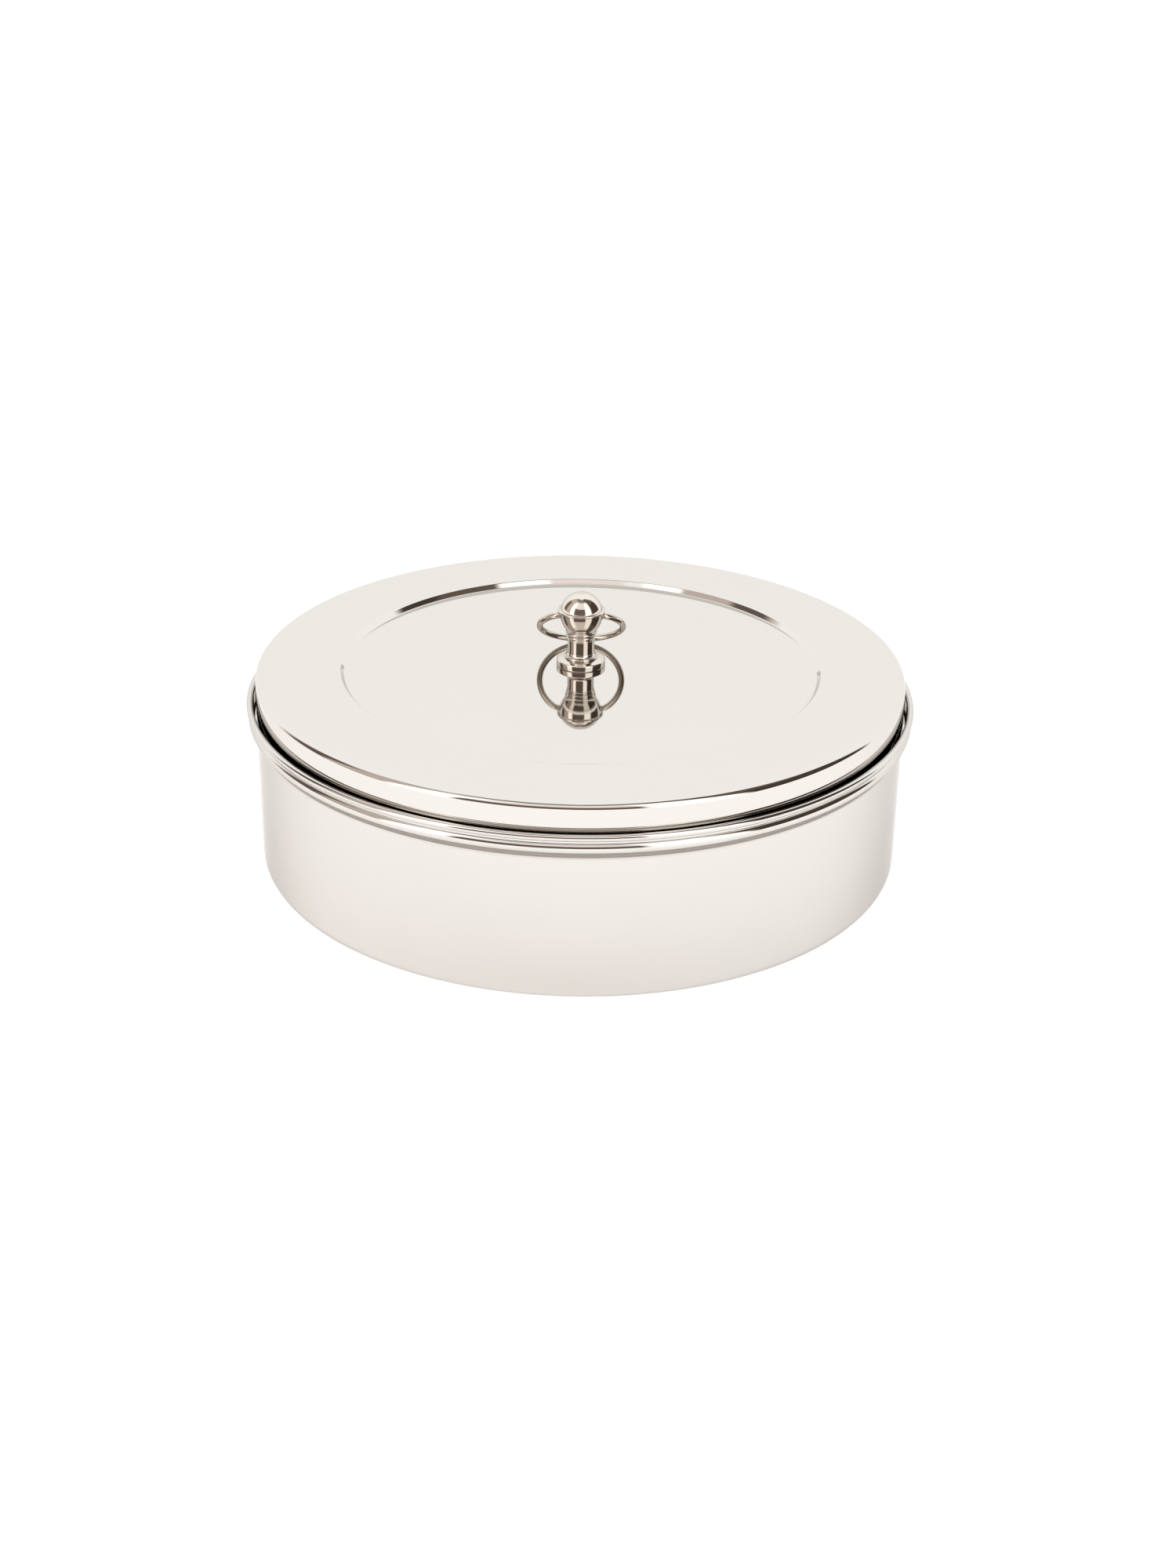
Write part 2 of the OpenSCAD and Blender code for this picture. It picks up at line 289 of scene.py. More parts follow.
# %% Lathe tree
def make_lathe():
    """The tree, with its inputs by name."""
    tree = bpy.data.node_groups.new("Lathe", "GeometryNodeTree")
    tree.is_modifier = True
    sockets = {}
    for name, kind in (("Section", "NodeSocketGeometry"), ("Steps round", "NodeSocketInt"),
                       ("Off the axis", "NodeSocketFloat"), ("Bearing", "NodeSocketFloat"),
                       ("Lift", "NodeSocketFloat"), ("Metal", "NodeSocketMaterial")):
        sockets[name] = tree.interface.new_socket(name, in_out="INPUT", socket_type=kind).identifier
    tree.interface.new_socket("Piece", in_out="OUTPUT", socket_type="NodeSocketGeometry")
    given = add(tree, "NodeGroupInput").outputs
    points = add(tree, "GeometryNodeAttributeDomainSize", {0: given["Section"]}).outputs["Point Count"]
    columns = calc(tree, "ADD", given["Steps round"], 1)
    grid = add(tree, "GeometryNodeMeshGrid", {"Vertices X": points, "Vertices Y": columns}).outputs["Mesh"]
    index = add(tree, "GeometryNodeInputIndex").outputs[0]
    row = calc(tree, "FLOOR", calc(tree, "DIVIDE", index, columns))
    column = calc(tree, "MODULO", index, columns)
    angle = calc(tree, "DIVIDE", calc(tree, "MULTIPLY", column, 2 * math.pi), given["Steps round"])
    cosine, sine = calc(tree, "COSINE", angle), calc(tree, "SINE", angle)

    def from_section(field, kind):
        sample = add(tree, "GeometryNodeSampleIndex", {"Geometry": given["Section"], "Index": row},
                     data_type=kind, domain="POINT")
        tree.links.new(field, sample.inputs["Value"])
        return sample.outputs[0]

    point = add(tree, "ShaderNodeSeparateXYZ",
                {0: from_section(add(tree, "GeometryNodeInputPosition").outputs[0], "FLOAT_VECTOR")})
    radius = point.outputs["X"]
    along = from_section(add(tree, "GeometryNodeInputNamedAttribute", {"Name": "along"},
                             data_type="FLOAT").outputs[0], "FLOAT")
    marks = add(tree, "ShaderNodeCombineXYZ", {0: cosine, 1: sine, 2: along}).outputs[0]
    marked = add(tree, "GeometryNodeStoreNamedAttribute", {"Geometry": grid, "Name": "turned", "Value": marks},
                 data_type="FLOAT_VECTOR", domain="POINT").outputs[0]
    bent = add(tree, "ShaderNodeCombineXYZ", {0: calc(tree, "MULTIPLY", radius, cosine),
                                              1: calc(tree, "MULTIPLY", radius, sine), 2: point.outputs["Z"]})
    shaped = add(tree, "GeometryNodeSetPosition", {"Geometry": marked, "Position": bent.outputs[0]}).outputs[0]
    outward = add(tree, "GeometryNodeFlipFaces", {0: shaped}).outputs[0]
    closed = add(tree, "GeometryNodeMergeByDistance", {"Geometry": outward, "Distance": 0.002 * MM}).outputs[0]
    away = given["Off the axis"]
    spot = add(tree, "ShaderNodeCombineXYZ",
               {0: calc(tree, "MULTIPLY", away, calc(tree, "COSINE", given["Bearing"])),
                1: calc(tree, "MULTIPLY", away, calc(tree, "SINE", given["Bearing"])), 2: given["Lift"]})
    turn = add(tree, "ShaderNodeCombineXYZ", {2: given["Bearing"]})
    placed = add(tree, "GeometryNodeTransform", {"Geometry": closed, "Translation": spot.outputs[0],
                                                 "Rotation": turn.outputs[0]}).outputs[0]
    smooth = add(tree, "GeometryNodeSetShadeSmooth", {"Geometry": placed, "Shade Smooth": True}).outputs[0]
    real = add(tree, "GeometryNodeRealizeInstances", {"Geometry": smooth}).outputs[0]
    dressed = add(tree, "GeometryNodeSetMaterial", {"Geometry": real, "Material": given["Metal"]}).outputs[0]
    add(tree, "NodeGroupOutput", {0: dressed})
    return tree, sockets


LATHE, LATHE_SOCKET = make_lathe()
print("lathe tree:", len(LATHE.nodes), "nodes")

# %% [markdown]
# A section is a list of (radius, height) points in millimetres, with the metal on its left-hand side. Arcs
# are divided finely, and a long straight run gets a point just inside each end, so that the smooth shading
# of a rounding doesn't bleed into the flat beside it and bend the mirror image there.

# %% Sections
LONG_RUN = 2.5                      # mm
GAP = 0.05                          # mm, between two pieces where one rests on the other


def arc(r, z, radius, start, end, steps=10):
    """Points on an arc about (r, z), from one angle to another in degrees."""
    angles = [math.radians(start + (end - start) * i / steps) for i in range(steps + 1)]
    return [(r + radius * math.cos(a), z + radius * math.sin(a)) for a in angles]


def rounded(before, corner, after, radius, steps=6):
    """The corner of a section, rounded between its two straight neighbours."""
    c = Vector(corner)
    u, v = (Vector(before) - c).normalized(), (Vector(after) - c).normalized()
    half = u.angle(v) / 2
    middle = c + (u + v).normalized() * radius / math.sin(half)
    start, end = c + u * radius / math.tan(half) - middle, c + v * radius / math.tan(half) - middle
    turn = start.angle_signed(end)
    points = []
    for i in range(steps + 1):
        a = -turn * i / steps
        points.append(tuple(middle + Vector((start.x * math.cos(a) - start.y * math.sin(a),
                                             start.x * math.sin(a) + start.y * math.cos(a)))))
    return points


def supported(points, gap=0.2):
    """The same section with a point just inside each end of every long straight run."""
    result = [points[0]]
    for a, b in zip(points, points[1:]):
        a, b = Vector(a), Vector(b)
        length = (b - a).length
        if length > LONG_RUN:
            result += [tuple(a.lerp(b, gap / length)), tuple(b.lerp(a, gap / length))]
        result.append(tuple(b))
    return result


# %% From a section to a piece
SHARP = math.radians(35)            # a smooth surface keeps a crisp edge where it turns by more


def place_mesh(name, mesh):
    """A new object for a finished mesh."""
    piece = bpy.data.objects.new(name, mesh)
    scene.collection.objects.link(piece)
    return piece


def applied(piece):
    """The plain mesh that an object's modifiers make. The modifiers are removed."""
    mesh = bpy.data.meshes.new_from_object(piece.evaluated_get(bpy.context.evaluated_depsgraph_get()))
    piece.modifiers.clear()
    return mesh


def through_tree(name, blank, tree, sockets, values):
    """Puts a drawn line through a Geometry Nodes tree and returns the piece as a plain mesh."""
    drawn = place_mesh(name + " line", blank)
    modifier = drawn.modifiers.new(tree.name, "NODES")
    modifier.node_group = tree
    for key, value in values.items():
        modifier[sockets[key]] = value
    mesh = applied(drawn)
    mesh.name = name
    bpy.data.objects.remove(drawn)
    mesh.set_sharp_from_angle(angle=SHARP)
    return place_mesh(name, mesh)


def turn_piece(name, section, metal, steps=256, off_axis=0.0, bearing=0.0, lift=0.0):
    """A section in millimetres, turned on the lathe tree and set down in its place."""
    section = supported(section)
    blank = bpy.data.meshes.new(name + " section")
    blank.from_pydata([(r * MM, 0, z * MM) for r, z in section],
                      [(i, i + 1) for i in range(len(section) - 1)], [])
    along, run = [], 0.0
    for i, point in enumerate(section):
        run += (Vector(point) - Vector(section[max(i - 1, 0)])).length * MM
        along.append(run)
    blank.attributes.new("along", "FLOAT", "POINT").data.foreach_set("value", along)
    return through_tree(name, blank, LATHE, LATHE_SOCKET, {
        "Steps round": steps, "Off the axis": off_axis * MM, "Bearing": math.radians(bearing),
        "Lift": lift * MM, "Metal": metal})


def report(piece):
    """Prints what a mesh measures: its size, its volume (negative if it is inside out) and open edges."""
    shape = bmesh.new()
    shape.from_mesh(piece.data)
    low = [min(v.co[i] for v in shape.verts) / MM for i in range(3)]
    high = [max(v.co[i] for v in shape.verts) / MM for i in range(3)]
    open_edges = sum(len(e.link_faces) != 2 for e in shape.edges)
    print(f"{piece.name}: {[round(v, 2) for v in low]} to {[round(v, 2) for v in high]} mm,",
          f"{shape.calc_volume(signed=True) / MM ** 3:.0f} mm3, {open_edges} open edges,",
          f"{sum(len(f.verts) - 2 for f in shape.faces)} triangles")
    shape.free()


# %% [markdown]
# ## The box
# The box is one disc of steel, drawn deep in a press. Near the top its wall swells into a shoulder bead,
# steps out into a collar that takes the lid, and ends in a rolled rim, which stiffens it and hides the cut
# edge. The lathe makes it in one go from the section of the sheet, with its outside first.

# %% Box
RIM_R, BOX_H, SHEET = 110.0, 57.4, 0.8
WALL_R = RIM_R - 3
FOOT_R = WALL_R - 0.4
WALL_IN = WALL_R - SHEET
COLLAR_R = RIM_R - 2.2
LEDGE_Z, LEDGE_DROP, LEDGE_EDGE = BOX_H - 6.8, 0.6, 0.4         # the step inside that carries the lid
SHOULDER_Z, BEAD_Z, BEAD_AT = BOX_H - 9.6, BOX_H - 4.8, RIM_R - 2.4
FOOT_CORNER, SHOULDER, BEAD, CURL = 4, 2.2, 2, 1.1             # radii


def make_box():
    """The sheet's outside from the middle of the floor up to the rolled rim, and its inside back down."""
    section = [(0, 0)] + arc(FOOT_R - FOOT_CORNER, FOOT_CORNER, FOOT_CORNER, -90, 0, 14)
    section += arc(WALL_R + SHOULDER, SHOULDER_Z, SHOULDER, 180, 125, 10)
    section += arc(BEAD_AT, BEAD_Z, BEAD, -60, 60, 20)
    section += arc(RIM_R - CURL, BOX_H - CURL, CURL, -105, 180, 36)
    section += rounded((COLLAR_R, BOX_H), (COLLAR_R, LEDGE_Z), (WALL_IN, LEDGE_Z), LEDGE_EDGE)
    section += rounded((COLLAR_R, LEDGE_Z), (WALL_IN + 0.05, LEDGE_Z), (WALL_IN, LEDGE_Z - LEDGE_DROP), LEDGE_EDGE)
    section += [(WALL_IN, LEDGE_Z - LEDGE_DROP)]
    section += arc(FOOT_R - FOOT_CORNER, FOOT_CORNER, FOOT_CORNER - SHEET, 0, -90, 14) + [(0, SHEET)]
    piece = turn_piece("Box", section, BOX_STEEL, steps=400)
    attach(piece, "box")
    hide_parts("body_shell")
    return piece


report(make_box())

# %% [markdown]
# ## The lid
# The lid is a shallow pressing: a short straight skirt that drops inside the box's collar, a small rounded
# edge, a border that rises very slightly and a wide panel pressed down by less than two millimetres. The
# panel isn't flat. It rises a little towards the middle, as sprung sheet does round a knob that is screwed
# down hard, and that gentle dome is what makes the knob's mirror image look right. The two bends beside the
# step have small radii, which show as thin dark lines.

# %% Lid
LID_TOP, BORDER_RISE, SKIRT_R, LID_CORNER = 66.0, 0.5, 106.8, 2.0
PANEL_R, PANEL_DEPTH, PANEL_CROWN, SLOPE = 78.5, 1.7, 1.4, 0.7
BORDER_Z = LID_TOP + BORDER_RISE
PANEL_Z = BORDER_Z - PANEL_DEPTH
SEAT_Z = PANEL_Z + PANEL_CROWN
SEAT_R, LID_HOLE = 10.0, 2.25
PANEL_ROWS, STEP_MARGIN = 32, 2.2           # how finely the dome is divided, and where it stops before the step
UPPER_BENDS, LOWER_BENDS = (0.5, 0.8), (0.5, 0.5)               # radii of the step's bends on each side


def panel_height(r):
    """Height of the panel's upper side at a distance from the axis."""
    return SEAT_Z - PANEL_CROWN * max(0.0, (r - SEAT_R) / (PANEL_R - SLOPE - SEAT_R)) ** 2


def make_lid():
    """Both sides of the sheet from the screw hole out to the skirt's lower edge."""
    low, high, edge = (PANEL_R - SLOPE, PANEL_Z), (PANEL_R + SLOPE, BORDER_Z), (SKIRT_R - LID_CORNER, LID_TOP)
    radii = [SEAT_R + (PANEL_R - SLOPE - SEAT_R) * i / PANEL_ROWS for i in range(PANEL_ROWS)]
    dome = [(r, panel_height(r)) for r in radii if r < PANEL_R - STEP_MARGIN]
    hem, inside = LEDGE_Z + GAP, SKIRT_R - SHEET
    top = [(LID_HOLE, SEAT_Z)] + dome
    top += rounded(top[-1], low, high, UPPER_BENDS[0], 8) + rounded(low, high, edge, UPPER_BENDS[1], 10)
    top += arc(SKIRT_R - LID_CORNER, LID_TOP - LID_CORNER, LID_CORNER, 88, 0, 16)
    top += rounded((SKIRT_R, LID_TOP), (SKIRT_R, hem), (inside, hem), 0.25, 4)
    under = [(LID_HOLE, SEAT_Z - SHEET)] + [(r, z - SHEET) for r, z in dome]
    low, high, edge = (low[0] + 0.3, low[1] - SHEET), (high[0] + 0.3, high[1] - SHEET), (edge[0], edge[1] - SHEET)
    under += rounded(under[-1], low, high, LOWER_BENDS[0], 6) + rounded(low, high, edge, LOWER_BENDS[1], 6)
    under += arc(SKIRT_R - LID_CORNER, LID_TOP - LID_CORNER, LID_CORNER - SHEET, 88, 0, 8)
    under += rounded((inside, LID_TOP), (inside, hem), (SKIRT_R, hem), 0.25, 4)
    piece = turn_piece("Lid", under + top[::-1] + under[:1], LID_STEEL, steps=320)
    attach(piece, "lid")
    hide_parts("lid_shell")
    return piece


report(make_lid())

# %% [markdown]
# ## The knob
# The knob is turned from bar and nickel plated: a foot with a bead, a flare up to a slim neck, three fine
# ridges, a ball that narrows downwards like a pear, a thin lip round it and a dome on top. It screws on from
# below and the ring's wire passes through the ball. The lathe makes the turned form with its blind screw
# hole, and a Boolean drills the cross hole afterwards, as a workshop would.

# %% Knob
BALL_R, BALL_H = 7.2, 18.3
PIVOT_H = BALL_H - 1.3
DOME_R, LIP_R, LIP_H, LIP_T = BALL_R - 0.35, BALL_R + 0.6, BALL_H + 0.4, 0.7
KNOB_TOP = BALL_H + DOME_R - 0.25
NECK_R, PEAR_R = 4.4, 10.8
SCREW_HOLE, HOLE_DEPTH = 2.0, 9
FLARE_R, FLARE_H = 1.3, 4.7
RIDGES, RIDGE_H, RIDGE_PITCH, RIDGE_R, RIDGE_GROWTH = 3, 9.1, 1.2, 0.3, 0.3
WIRE_R, TURNING_GAP = 1.0, 0.05
DRILL_LENGTH = 40 * MM


def knob_section():
    """The knob's section above its seat, from the roof of the screw hole round to the top."""
    section = [(0, HOLE_DEPTH), (SCREW_HOLE, HOLE_DEPTH), (SCREW_HOLE, 0)]
    section += arc(7.6, 0.4, 0.4, -90, 0, 6) + arc(7.4, 1.65, 0.6, 0, 80, 8)            # the foot's two edges
    section += arc(5.0, 2.9, 0.45, -50, 80, 10)                                         # the bead on it
    section += arc(NECK_R + FLARE_R, FLARE_H, FLARE_R, 245, 180, 12)
    for i in range(RIDGES):
        section += arc(NECK_R - 0.1 + RIDGE_GROWTH * i, RIDGE_H + RIDGE_PITCH * i, RIDGE_R, -70, 70, 8)
    section += arc(BALL_R - PEAR_R, BALL_H + 0.5, PEAR_R, -35, -2, 32)
    for height, start, end in ((LIP_H + 0.2, -80, 0), (LIP_H + LIP_T - 0.2, 0, 80)):
        section += arc(LIP_R - 0.2, height, 0.2, start, end, 4)
    dome_start = math.degrees(math.asin(1.2 / DOME_R))
    dome_end = math.degrees(math.asin((KNOB_TOP - BALL_H) / DOME_R))
    section += arc(0, BALL_H, DOME_R, dome_start, dome_end, 32) + [(0, KNOB_TOP)]
    return section


def drill(piece, height, radius):
    """Drills a hole through a piece along X, with a Boolean that is applied at once."""
    bit = bmesh.new()
    along_x = Matrix.Translation((0, 0, height)) @ Matrix.Rotation(math.pi / 2, 4, "Y")
    bmesh.ops.create_cone(bit, cap_ends=True, segments=48, radius1=radius, radius2=radius,
                          depth=DRILL_LENGTH, matrix=along_x)
    mesh = bpy.data.meshes.new("Drill")
    bit.to_mesh(mesh)
    bit.free()
    drill_bit = place_mesh("Drill", mesh)
    cut = piece.modifiers.new("Cross hole", "BOOLEAN")
    cut.object, cut.operation, cut.solver = drill_bit, "DIFFERENCE", "EXACT"
    piece.data = applied(piece)
    piece.data.set_sharp_from_angle(angle=SHARP)
    bpy.data.objects.remove(drill_bit)


def make_knob():
    piece = turn_piece("Knob", knob_section(), KNOB_NICKEL, steps=128, lift=SEAT_Z)
    drill(piece, (SEAT_Z + PIVOT_H) * MM, (WIRE_R + TURNING_GAP) * MM)
    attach(piece, "lid")
    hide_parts("knob")
    return piece


report(make_knob())

# %% [markdown]
# ## The ring
# The ring is a piece of hard wire, bent round a mandrel and sprung into the cross hole with its two ends
# turned inwards. It lies back until it all but touches the lid. Its centre line is drawn as points, with
# the two bends softened, and a second Geometry Nodes tree sweeps a round wire along it. A curve with a
# bevel would give the wire too, but a tree keeps its sizes together as named inputs.

# %% Wire tree
def make_wire_tree():
    """Sweeps a round section along a drawn line."""
    tree = bpy.data.node_groups.new("Bent wire", "GeometryNodeTree")
    tree.is_modifier = True
    sockets = {}
    for name, kind in (("Line", "NodeSocketGeometry"), ("Wire radius", "NodeSocketFloat"),
                       ("Sides", "NodeSocketInt"), ("Metal", "NodeSocketMaterial")):
        sockets[name] = tree.interface.new_socket(name, in_out="INPUT", socket_type=kind).identifier
    tree.interface.new_socket("Piece", in_out="OUTPUT", socket_type="NodeSocketGeometry")
    given = add(tree, "NodeGroupInput").outputs
    line = add(tree, "GeometryNodeMeshToCurve", {"Mesh": given["Line"]}).outputs[0]
    section = add(tree, "GeometryNodeCurvePrimitiveCircle", {"Resolution": given["Sides"],
                                                            "Radius": given["Wire radius"]}).outputs[0]
    swept = add(tree, "GeometryNodeCurveToMesh", {"Curve": line, "Profile Curve": section, "Fill Caps": True})
    smooth = add(tree, "GeometryNodeSetShadeSmooth", {"Geometry": swept.outputs[0], "Shade Smooth": True})
    real = add(tree, "GeometryNodeRealizeInstances", {"Geometry": smooth.outputs[0]}).outputs[0]
    dressed = add(tree, "GeometryNodeSetMaterial", {"Geometry": real, "Material": given["Metal"]}).outputs[0]
    add(tree, "NodeGroupOutput", {0: dressed})
    return tree, sockets


WIRE_TREE, WIRE_SOCKET = make_wire_tree()
print("wire tree:", len(WIRE_TREE.nodes), "nodes")

# %% [markdown]
# Wire is drawn and a spoon is stamped, so no lathe has left rings on them. Their metal is plainer than the
# turned one: a fine noise over the whole piece stands for a slight cloudiness and tiny handling marks.

# %% Plain metal
def plain_metal(name, tint, roughness):
    """Drawn or stamped metal, with no rings."""
    metal = bpy.data.materials.new(name)
    metal.use_nodes = True
    tree = metal.node_tree
    surface = tree.nodes["Principled BSDF"]
    surface.inputs["Metallic"].default_value = 1.0
    surface.inputs["Specular Tint"].default_value = (0.5, 0.48, 0.46, 1)
    place = add(tree, "ShaderNodeTexCoord").outputs["Object"]
    cloud = add(tree, "ShaderNodeTexNoise", {"Vector": place, "Scale": 420.0, "Detail": 3.0}).outputs[0]
    dark, light = [c * 0.93 for c in tint], [min(1, c * 1.07) for c in tint]
    colour = add(tree, "ShaderNodeMix", {0: cloud, 6: (*dark, 1), 7: (*light, 1)}, data_type="RGBA")
    tree.links.new(colour.outputs[2], surface.inputs["Base Color"])
    gloss = ramp(tree, cloud, 0.3, 0.7, roughness * 0.7, roughness * 1.3)
    tree.links.new(gloss, surface.inputs["Roughness"])
    bump = add(tree, "ShaderNodeBump", {"Strength": 0.3, "Distance": 0.004 * MM, "Height": cloud})
    tree.links.new(bump.outputs[0], surface.inputs["Normal"])
    return metal


RING_NICKEL = plain_metal("Ring nickel", (0.60, 0.545, 0.48), 0.12)
SPOON_STEEL = plain_metal("Spoon steel", (0.62, 0.61, 0.60), 0.10)
FASTENER_STEEL = plain_metal("Fastener steel", (0.52, 0.51, 0.50), 0.28)
print("plain metals:", [m.name for m in (RING_NICKEL, SPOON_STEEL, FASTENER_STEEL)])

# %% Ring
RING_R, RING_OFFSET, PIN_IN = 13.8, 11.2, 3.0
RING_END = math.asin(RING_OFFSET / RING_R)
RING_PIN_X = RING_R * math.cos(RING_END)
RING_CLEAR = 0.15                   # mm, between the lying ring and the lid
RING_REST = math.asin((PIVOT_H - WIRE_R - RING_CLEAR) / (RING_OFFSET + RING_R))
BEND_ROUNDS, BEND_REACH = 6, 1.5    # how often and how far along the line the bends are softened


def ring_line():
    """The wire's centre line in the ring's own plane: one pin, round the circle, the other pin."""
    pin = [Vector((PIN_IN + (RING_PIN_X - PIN_IN) * i / 16, 0)) for i in range(16)]
    turn = [-RING_END + (math.pi + 2 * RING_END) * i / 144 for i in range(145)]
    loop = [Vector((RING_R * math.cos(a), RING_OFFSET + RING_R * math.sin(a))) for a in turn]
    line = pin + loop + [Vector((-p.x, p.y)) for p in reversed(pin)]
    for _ in range(BEND_ROUNDS):
        near = [abs(abs(p.x) - RING_PIN_X) < BEND_REACH and p.y < 2 for p in line]
        line = [(line[i - 1] + p * 2 + line[i + 1]) / 4 if near[i] else p
                for i, p in enumerate(line[:-1])] + line[-1:]
    return line


def make_ring():
    lean = Matrix.Translation((0, 0, (SEAT_Z + PIVOT_H) * MM)) @ Matrix.Rotation(-RING_REST, 4, "X")
    points = [lean @ Vector((p.x * MM, p.y * MM, 0)) for p in ring_line()]
    blank = bpy.data.meshes.new("Ring line")
    blank.from_pydata(points, [(i, i + 1) for i in range(len(points) - 1)], [])
    piece = through_tree("Ring", blank, WIRE_TREE, WIRE_SOCKET, {
        "Wire radius": WIRE_R * MM, "Sides": 40, "Metal": RING_NICKEL})
    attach(piece, "ring")
    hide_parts("knob_ring")
    return piece


report(make_ring())

# %% [markdown]
# ## The bowls
# Seven equal bowls, katoris, stand in the box: one in the middle and six round it. The row of bowls follows
# a rule, so the lathe tree also sets each one down: number 0 stands on the axis and the others at every
# sixth of a turn. Each bowl becomes a mesh of its own, because each can be lifted out.

# %% Bowls
BOWL_H, BOWL_SHEET, BOWL_BEAD = 42.0, 0.6, 0.8
BOWL_GAP, WALL_GAP = 0.8, 2.2
BOWL_R = (WALL_IN - WALL_GAP - BOWL_GAP) / 3
BOWL_PITCH = 2 * BOWL_R + BOWL_GAP
BOWL_Z = SHEET + GAP
BOWL_FOOT, BOWL_CORNER = BOWL_R - 4.1, 9.0


def make_bowl(number):
    section = [(0, 0)] + arc(BOWL_FOOT - BOWL_CORNER, BOWL_CORNER, BOWL_CORNER, -90, 0, 16)
    section += arc(BOWL_R - BOWL_BEAD, BOWL_H - BOWL_BEAD, BOWL_BEAD, -100, 180, 24)
    section += arc(BOWL_FOOT - BOWL_CORNER, BOWL_CORNER, BOWL_CORNER - BOWL_SHEET, 0, -90, 16)
    section += [(0, BOWL_SHEET)]
    place = {"off_axis": BOWL_PITCH, "bearing": 30 + 60 * number} if number else {}
    piece = turn_piece(f"Bowl_{number}", section, BOWL_STEEL, steps=160, lift=BOWL_Z, **place)
    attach(piece, f"bowl_{number}" if number else "bowl_center")
    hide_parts(f"katori_{number}" if number else "katori_center")
    return piece


for number in range(7):
    report(make_bowl(number))

# %% [markdown]
# ## The inner plate
# A flat plate with a turned-up edge lies on the bowls' rims and keeps the spices apart. It is lifted by a
# small turned knob, held by a rivet from below. Plate and knob come off the lathe tree. The rivet is never
# in sight from above, so its CAD mesh stays and only gets a metal.

# %% Inner plate
PLATE_Z = BOWL_Z + BOWL_H + GAP
PLATE_R, PLATE_RIM, PLATE_CORNER, PLATE_EDGE = WALL_IN - 1.7, 3.5, 2, 0.3
PLATE_TOP = PLATE_Z + SHEET
RIVET_HOLE, PLATE_KNOB_H = 1.55, 10.5


def make_plate():
    bend, corner_z, edge_z = PLATE_R - PLATE_CORNER, PLATE_Z + PLATE_CORNER, PLATE_Z + PLATE_RIM - PLATE_EDGE
    section = [(RIVET_HOLE, PLATE_Z)] + arc(bend, corner_z, PLATE_CORNER, -90, 0, 12)
    section += arc(PLATE_R - PLATE_EDGE, edge_z, PLATE_EDGE, 0, 90, 4)
    section += arc(PLATE_R - SHEET + PLATE_EDGE, edge_z, PLATE_EDGE, 90, 180, 4)
    section += arc(bend, corner_z, PLATE_CORNER - SHEET, 0, -90, 12)
    section += [(RIVET_HOLE, PLATE_TOP), (RIVET_HOLE, PLATE_Z)]
    piece = turn_piece("Inner_plate", section, PLATE_STEEL, steps=256)
    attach(piece, "plate")
    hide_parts("inner_plate")
    return piece


def make_plate_knob():
    top = PLATE_KNOB_H
    section = [(0, 6), (RIVET_HOLE, 6), (RIVET_HOLE, 0)]                                # the rivet's hole
    section += arc(4.4, 0.2, 0.2, -90, 0, 4) + arc(4.4, 0.6, 0.2, 0, 90, 4)             # the foot
    section += arc(5.2, 3.6, 2.2, 225, 135, 16) + arc(5.8, top - 1.8, 1.2, -70, 60, 16)         # waist and head
    section += [(5.2, top - 0.45), (3.5, top - 0.15), (1.8, top - 0.03), (0, top)]
    piece = turn_piece("Plate_knob", section, PLATE_STEEL, steps=96, lift=PLATE_TOP)
    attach(piece, "plate")
    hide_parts("plate_knob")
    return piece


report(make_plate())
report(make_plate_knob())

# %% [markdown]
# ## The spoon
# The spoon is stamped from one sheet: a round scoop and a narrow handle that arches up from it and widens
# to a rounded tip, which rests on the plate. One sheet means one grid. Each row of the grid crosses the
# spoon at one place along its length, as wide as the spoon is there. The rows are given their height by
# the scoop's sphere and the handle's arch, a Solidify modifier gives the sheet its thickness and a Bevel
# modifier takes the sharpness off its edges.

# %% Spoon
SCOOP_SPHERE, SCOOP_DEPTH = 15.0, 7.5
SCOOP_R = math.sqrt(SCOOP_SPHERE ** 2 - (SCOOP_SPHERE - SCOOP_DEPTH) ** 2)
SPOON_SHEET, SHEET_MIDDLE = 0.9, 0.5        # thickness, and how far its middle lies inside the scoop's sphere
SPOON_AT = Vector((-34, -45, PLATE_TOP + GAP))
HANDLE_START, HANDLE_L = 12.1, 74.0
NECK_H, TIP_H, ARCH = 6.9, 0.65, 4          # heights above the plate, and how far the handle arches
TIP_START = 0.94                            # share of the handle's length where its round end begins


def handle_height(s):
    """Height of the handle at a share of its length."""
    return NECK_H * (1 - s * s) + TIP_H * s * s + ARCH * s * (1 - s)


def handle_half_width(s):
    """Half the handle's width, with a round end over its last part."""
    if s <= TIP_START:
        return 2.6 - 1.2 * s + 3.2 * s * s
    return handle_half_width(TIP_START) * math.sqrt(max(0.0, 1 - ((s - TIP_START) / (1 - TIP_START)) ** 2))


def spoon_half_width(x):
    """Half the spoon's width at a place along it: the scoop's circle, or the handle if that is wider."""
    scoop = math.sqrt(max(0.0, SCOOP_R ** 2 - x * x))
    s = (x - HANDLE_START) / HANDLE_L
    if s < -0.06:
        return scoop
    handle = handle_half_width(max(s, 0.0)) + 1.5 * math.exp(-(s / 0.05) ** 2)
    return max(scoop, handle)


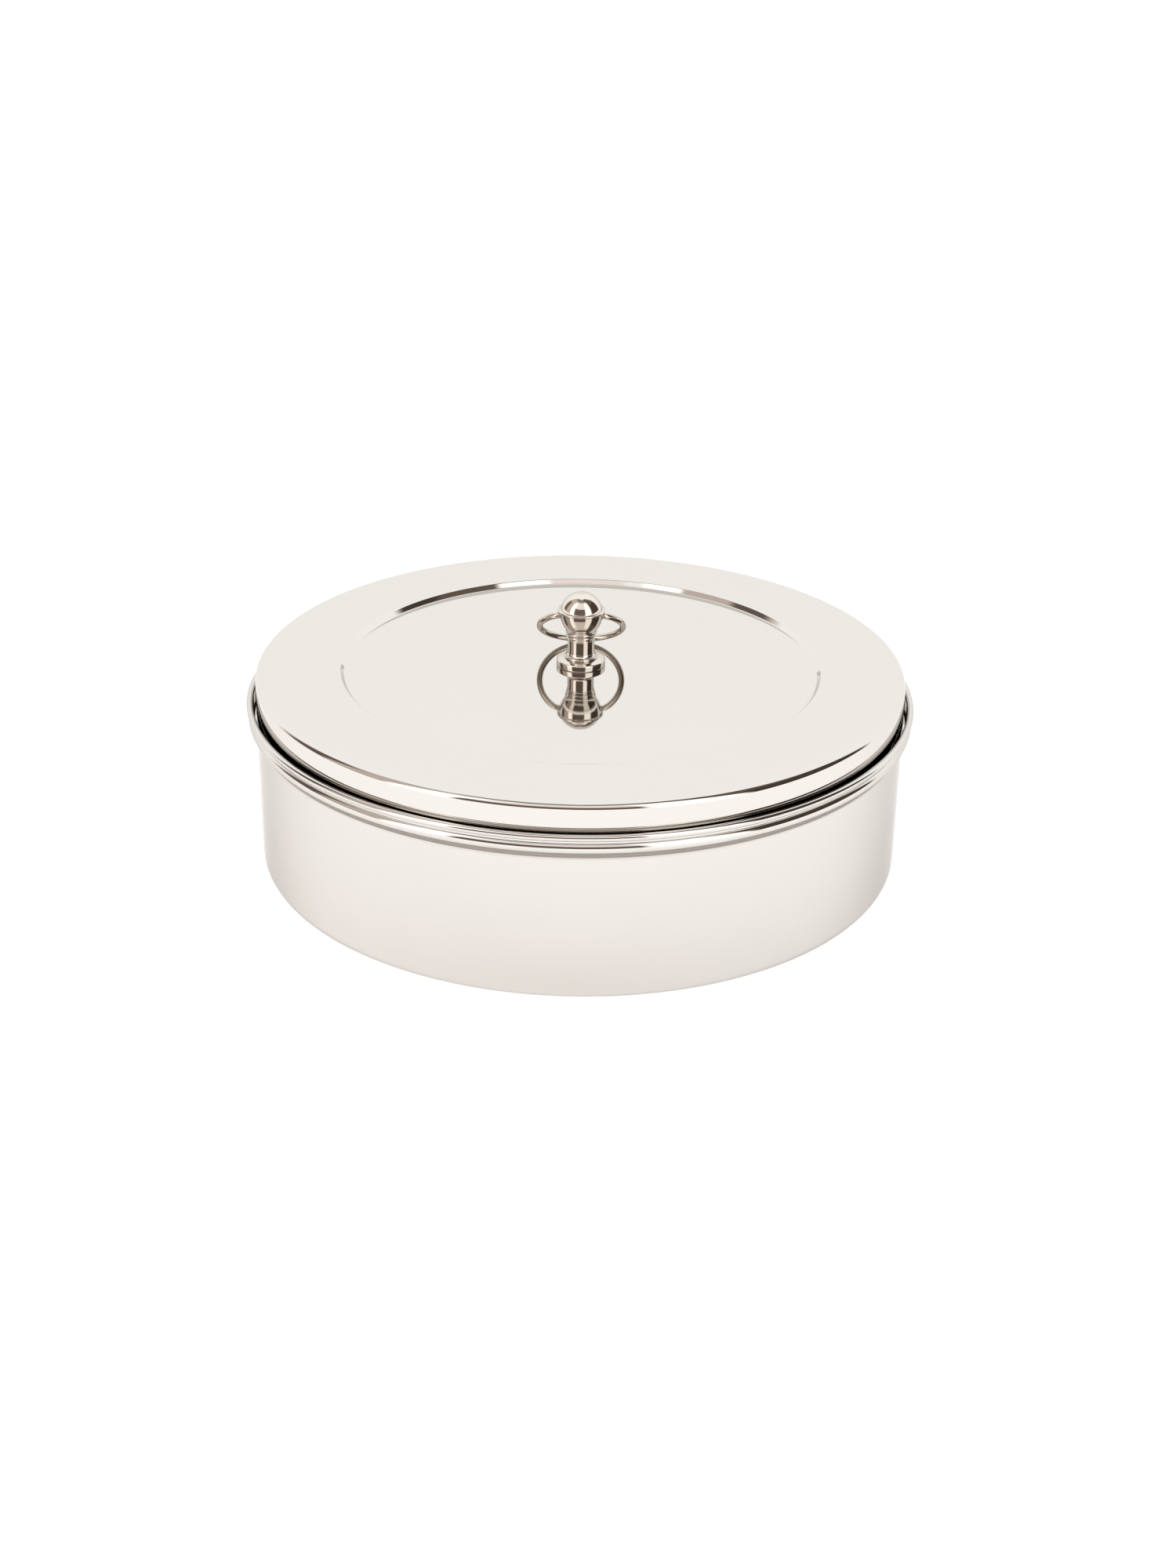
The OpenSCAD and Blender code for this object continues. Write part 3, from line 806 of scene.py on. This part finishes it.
def spoon_height(x, y):
    """Height of the middle of the sheet above the plate."""
    reach = math.hypot(x, y)
    rim = SCOOP_DEPTH - 0.1
    inner = SCOOP_SPHERE - SHEET_MIDDLE
    scoop = SCOOP_SPHERE - math.sqrt(max(inner ** 2 - reach ** 2, 0.0)) if reach < SCOOP_R else rim
    s = max(0.0, (x - HANDLE_START) / HANDLE_L)
    arch = handle_height(min(s, 1.0))
    share = min(1.0, max(0.0, (reach - SCOOP_R + 1.2) / 2.4)) if x > 0 else 0.0
    share = share * share * (3 - 2 * share)
    return min(scoop, rim) * (1 - share) + arch * share


def spoon_rows():
    """Places along the spoon, close together at its two round ends and at the neck."""
    front = [-SCOOP_R * math.cos(math.pi / 2 * i / 20) for i in range(20)]
    back = [SCOOP_R * math.sin(math.pi / 2 * i / 24) for i in range(20)]
    last, round_end = back[-1], 5
    tip_start = HANDLE_START + HANDLE_L - round_end
    middle = [last + (tip_start - last) * i / 60 for i in range(1, 61)]
    tip = [tip_start + round_end * math.sin(math.pi / 2 * i / 14) for i in range(1, 15)]
    return front + back + middle + tip


def spoon_sheet():
    """The spoon as a grid without thickness, with its faces upwards."""
    across = 24
    shape = bmesh.new()
    rows = []
    for x in spoon_rows():
        half = spoon_half_width(x)
        ys = [half * math.sin(math.pi / 2 * (2 * j / across - 1)) for j in range(across + 1)]
        rows.append([shape.verts.new((SPOON_AT + Vector((x, y, spoon_height(x, y)))) * MM) for y in ys])
    for a, b in zip(rows, rows[1:]):
        for j in range(across):
            shape.faces.new((a[j], b[j], b[j + 1], a[j + 1]))
    bmesh.ops.remove_doubles(shape, verts=shape.verts, dist=0.001 * MM)
    bmesh.ops.recalc_face_normals(shape, faces=shape.faces)
    if sum(f.normal.z for f in shape.faces) < 0:
        bmesh.ops.reverse_faces(shape, faces=shape.faces)
    mesh = bpy.data.meshes.new("Spoon")
    shape.to_mesh(mesh)
    shape.free()
    return mesh


# %% From the sheet to the spoon
def make_spoon():
    mesh = spoon_sheet()
    mesh.materials.append(SPOON_STEEL)
    piece = place_mesh("Spoon", mesh)
    sheet = piece.modifiers.new("Sheet", "SOLIDIFY")
    sheet.thickness, sheet.offset = SPOON_SHEET * MM, 0
    edge = piece.modifiers.new("Edge", "BEVEL")
    edge.width, edge.segments, edge.limit_method, edge.angle_limit = 0.3 * MM, 3, "ANGLE", math.radians(50)
    piece.data = applied(piece)
    piece.data.shade_smooth()
    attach(piece, "spoon_body")
    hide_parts("spoon")
    return piece


report(make_spoon())

# %% [markdown]
# ## Fasteners
# The screw and washer under the lid and the rivet under the plate are plain parts with the right shape
# already. They keep their CAD meshes and get a bright zinc finish.

# %% Fasteners
for node in ("knob_washer", "knob_screw", "plate_rivet"):
    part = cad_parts[node]
    part.data.materials.clear()
    part.data.materials.append(FASTENER_STEEL)
print("fasteners dressed")
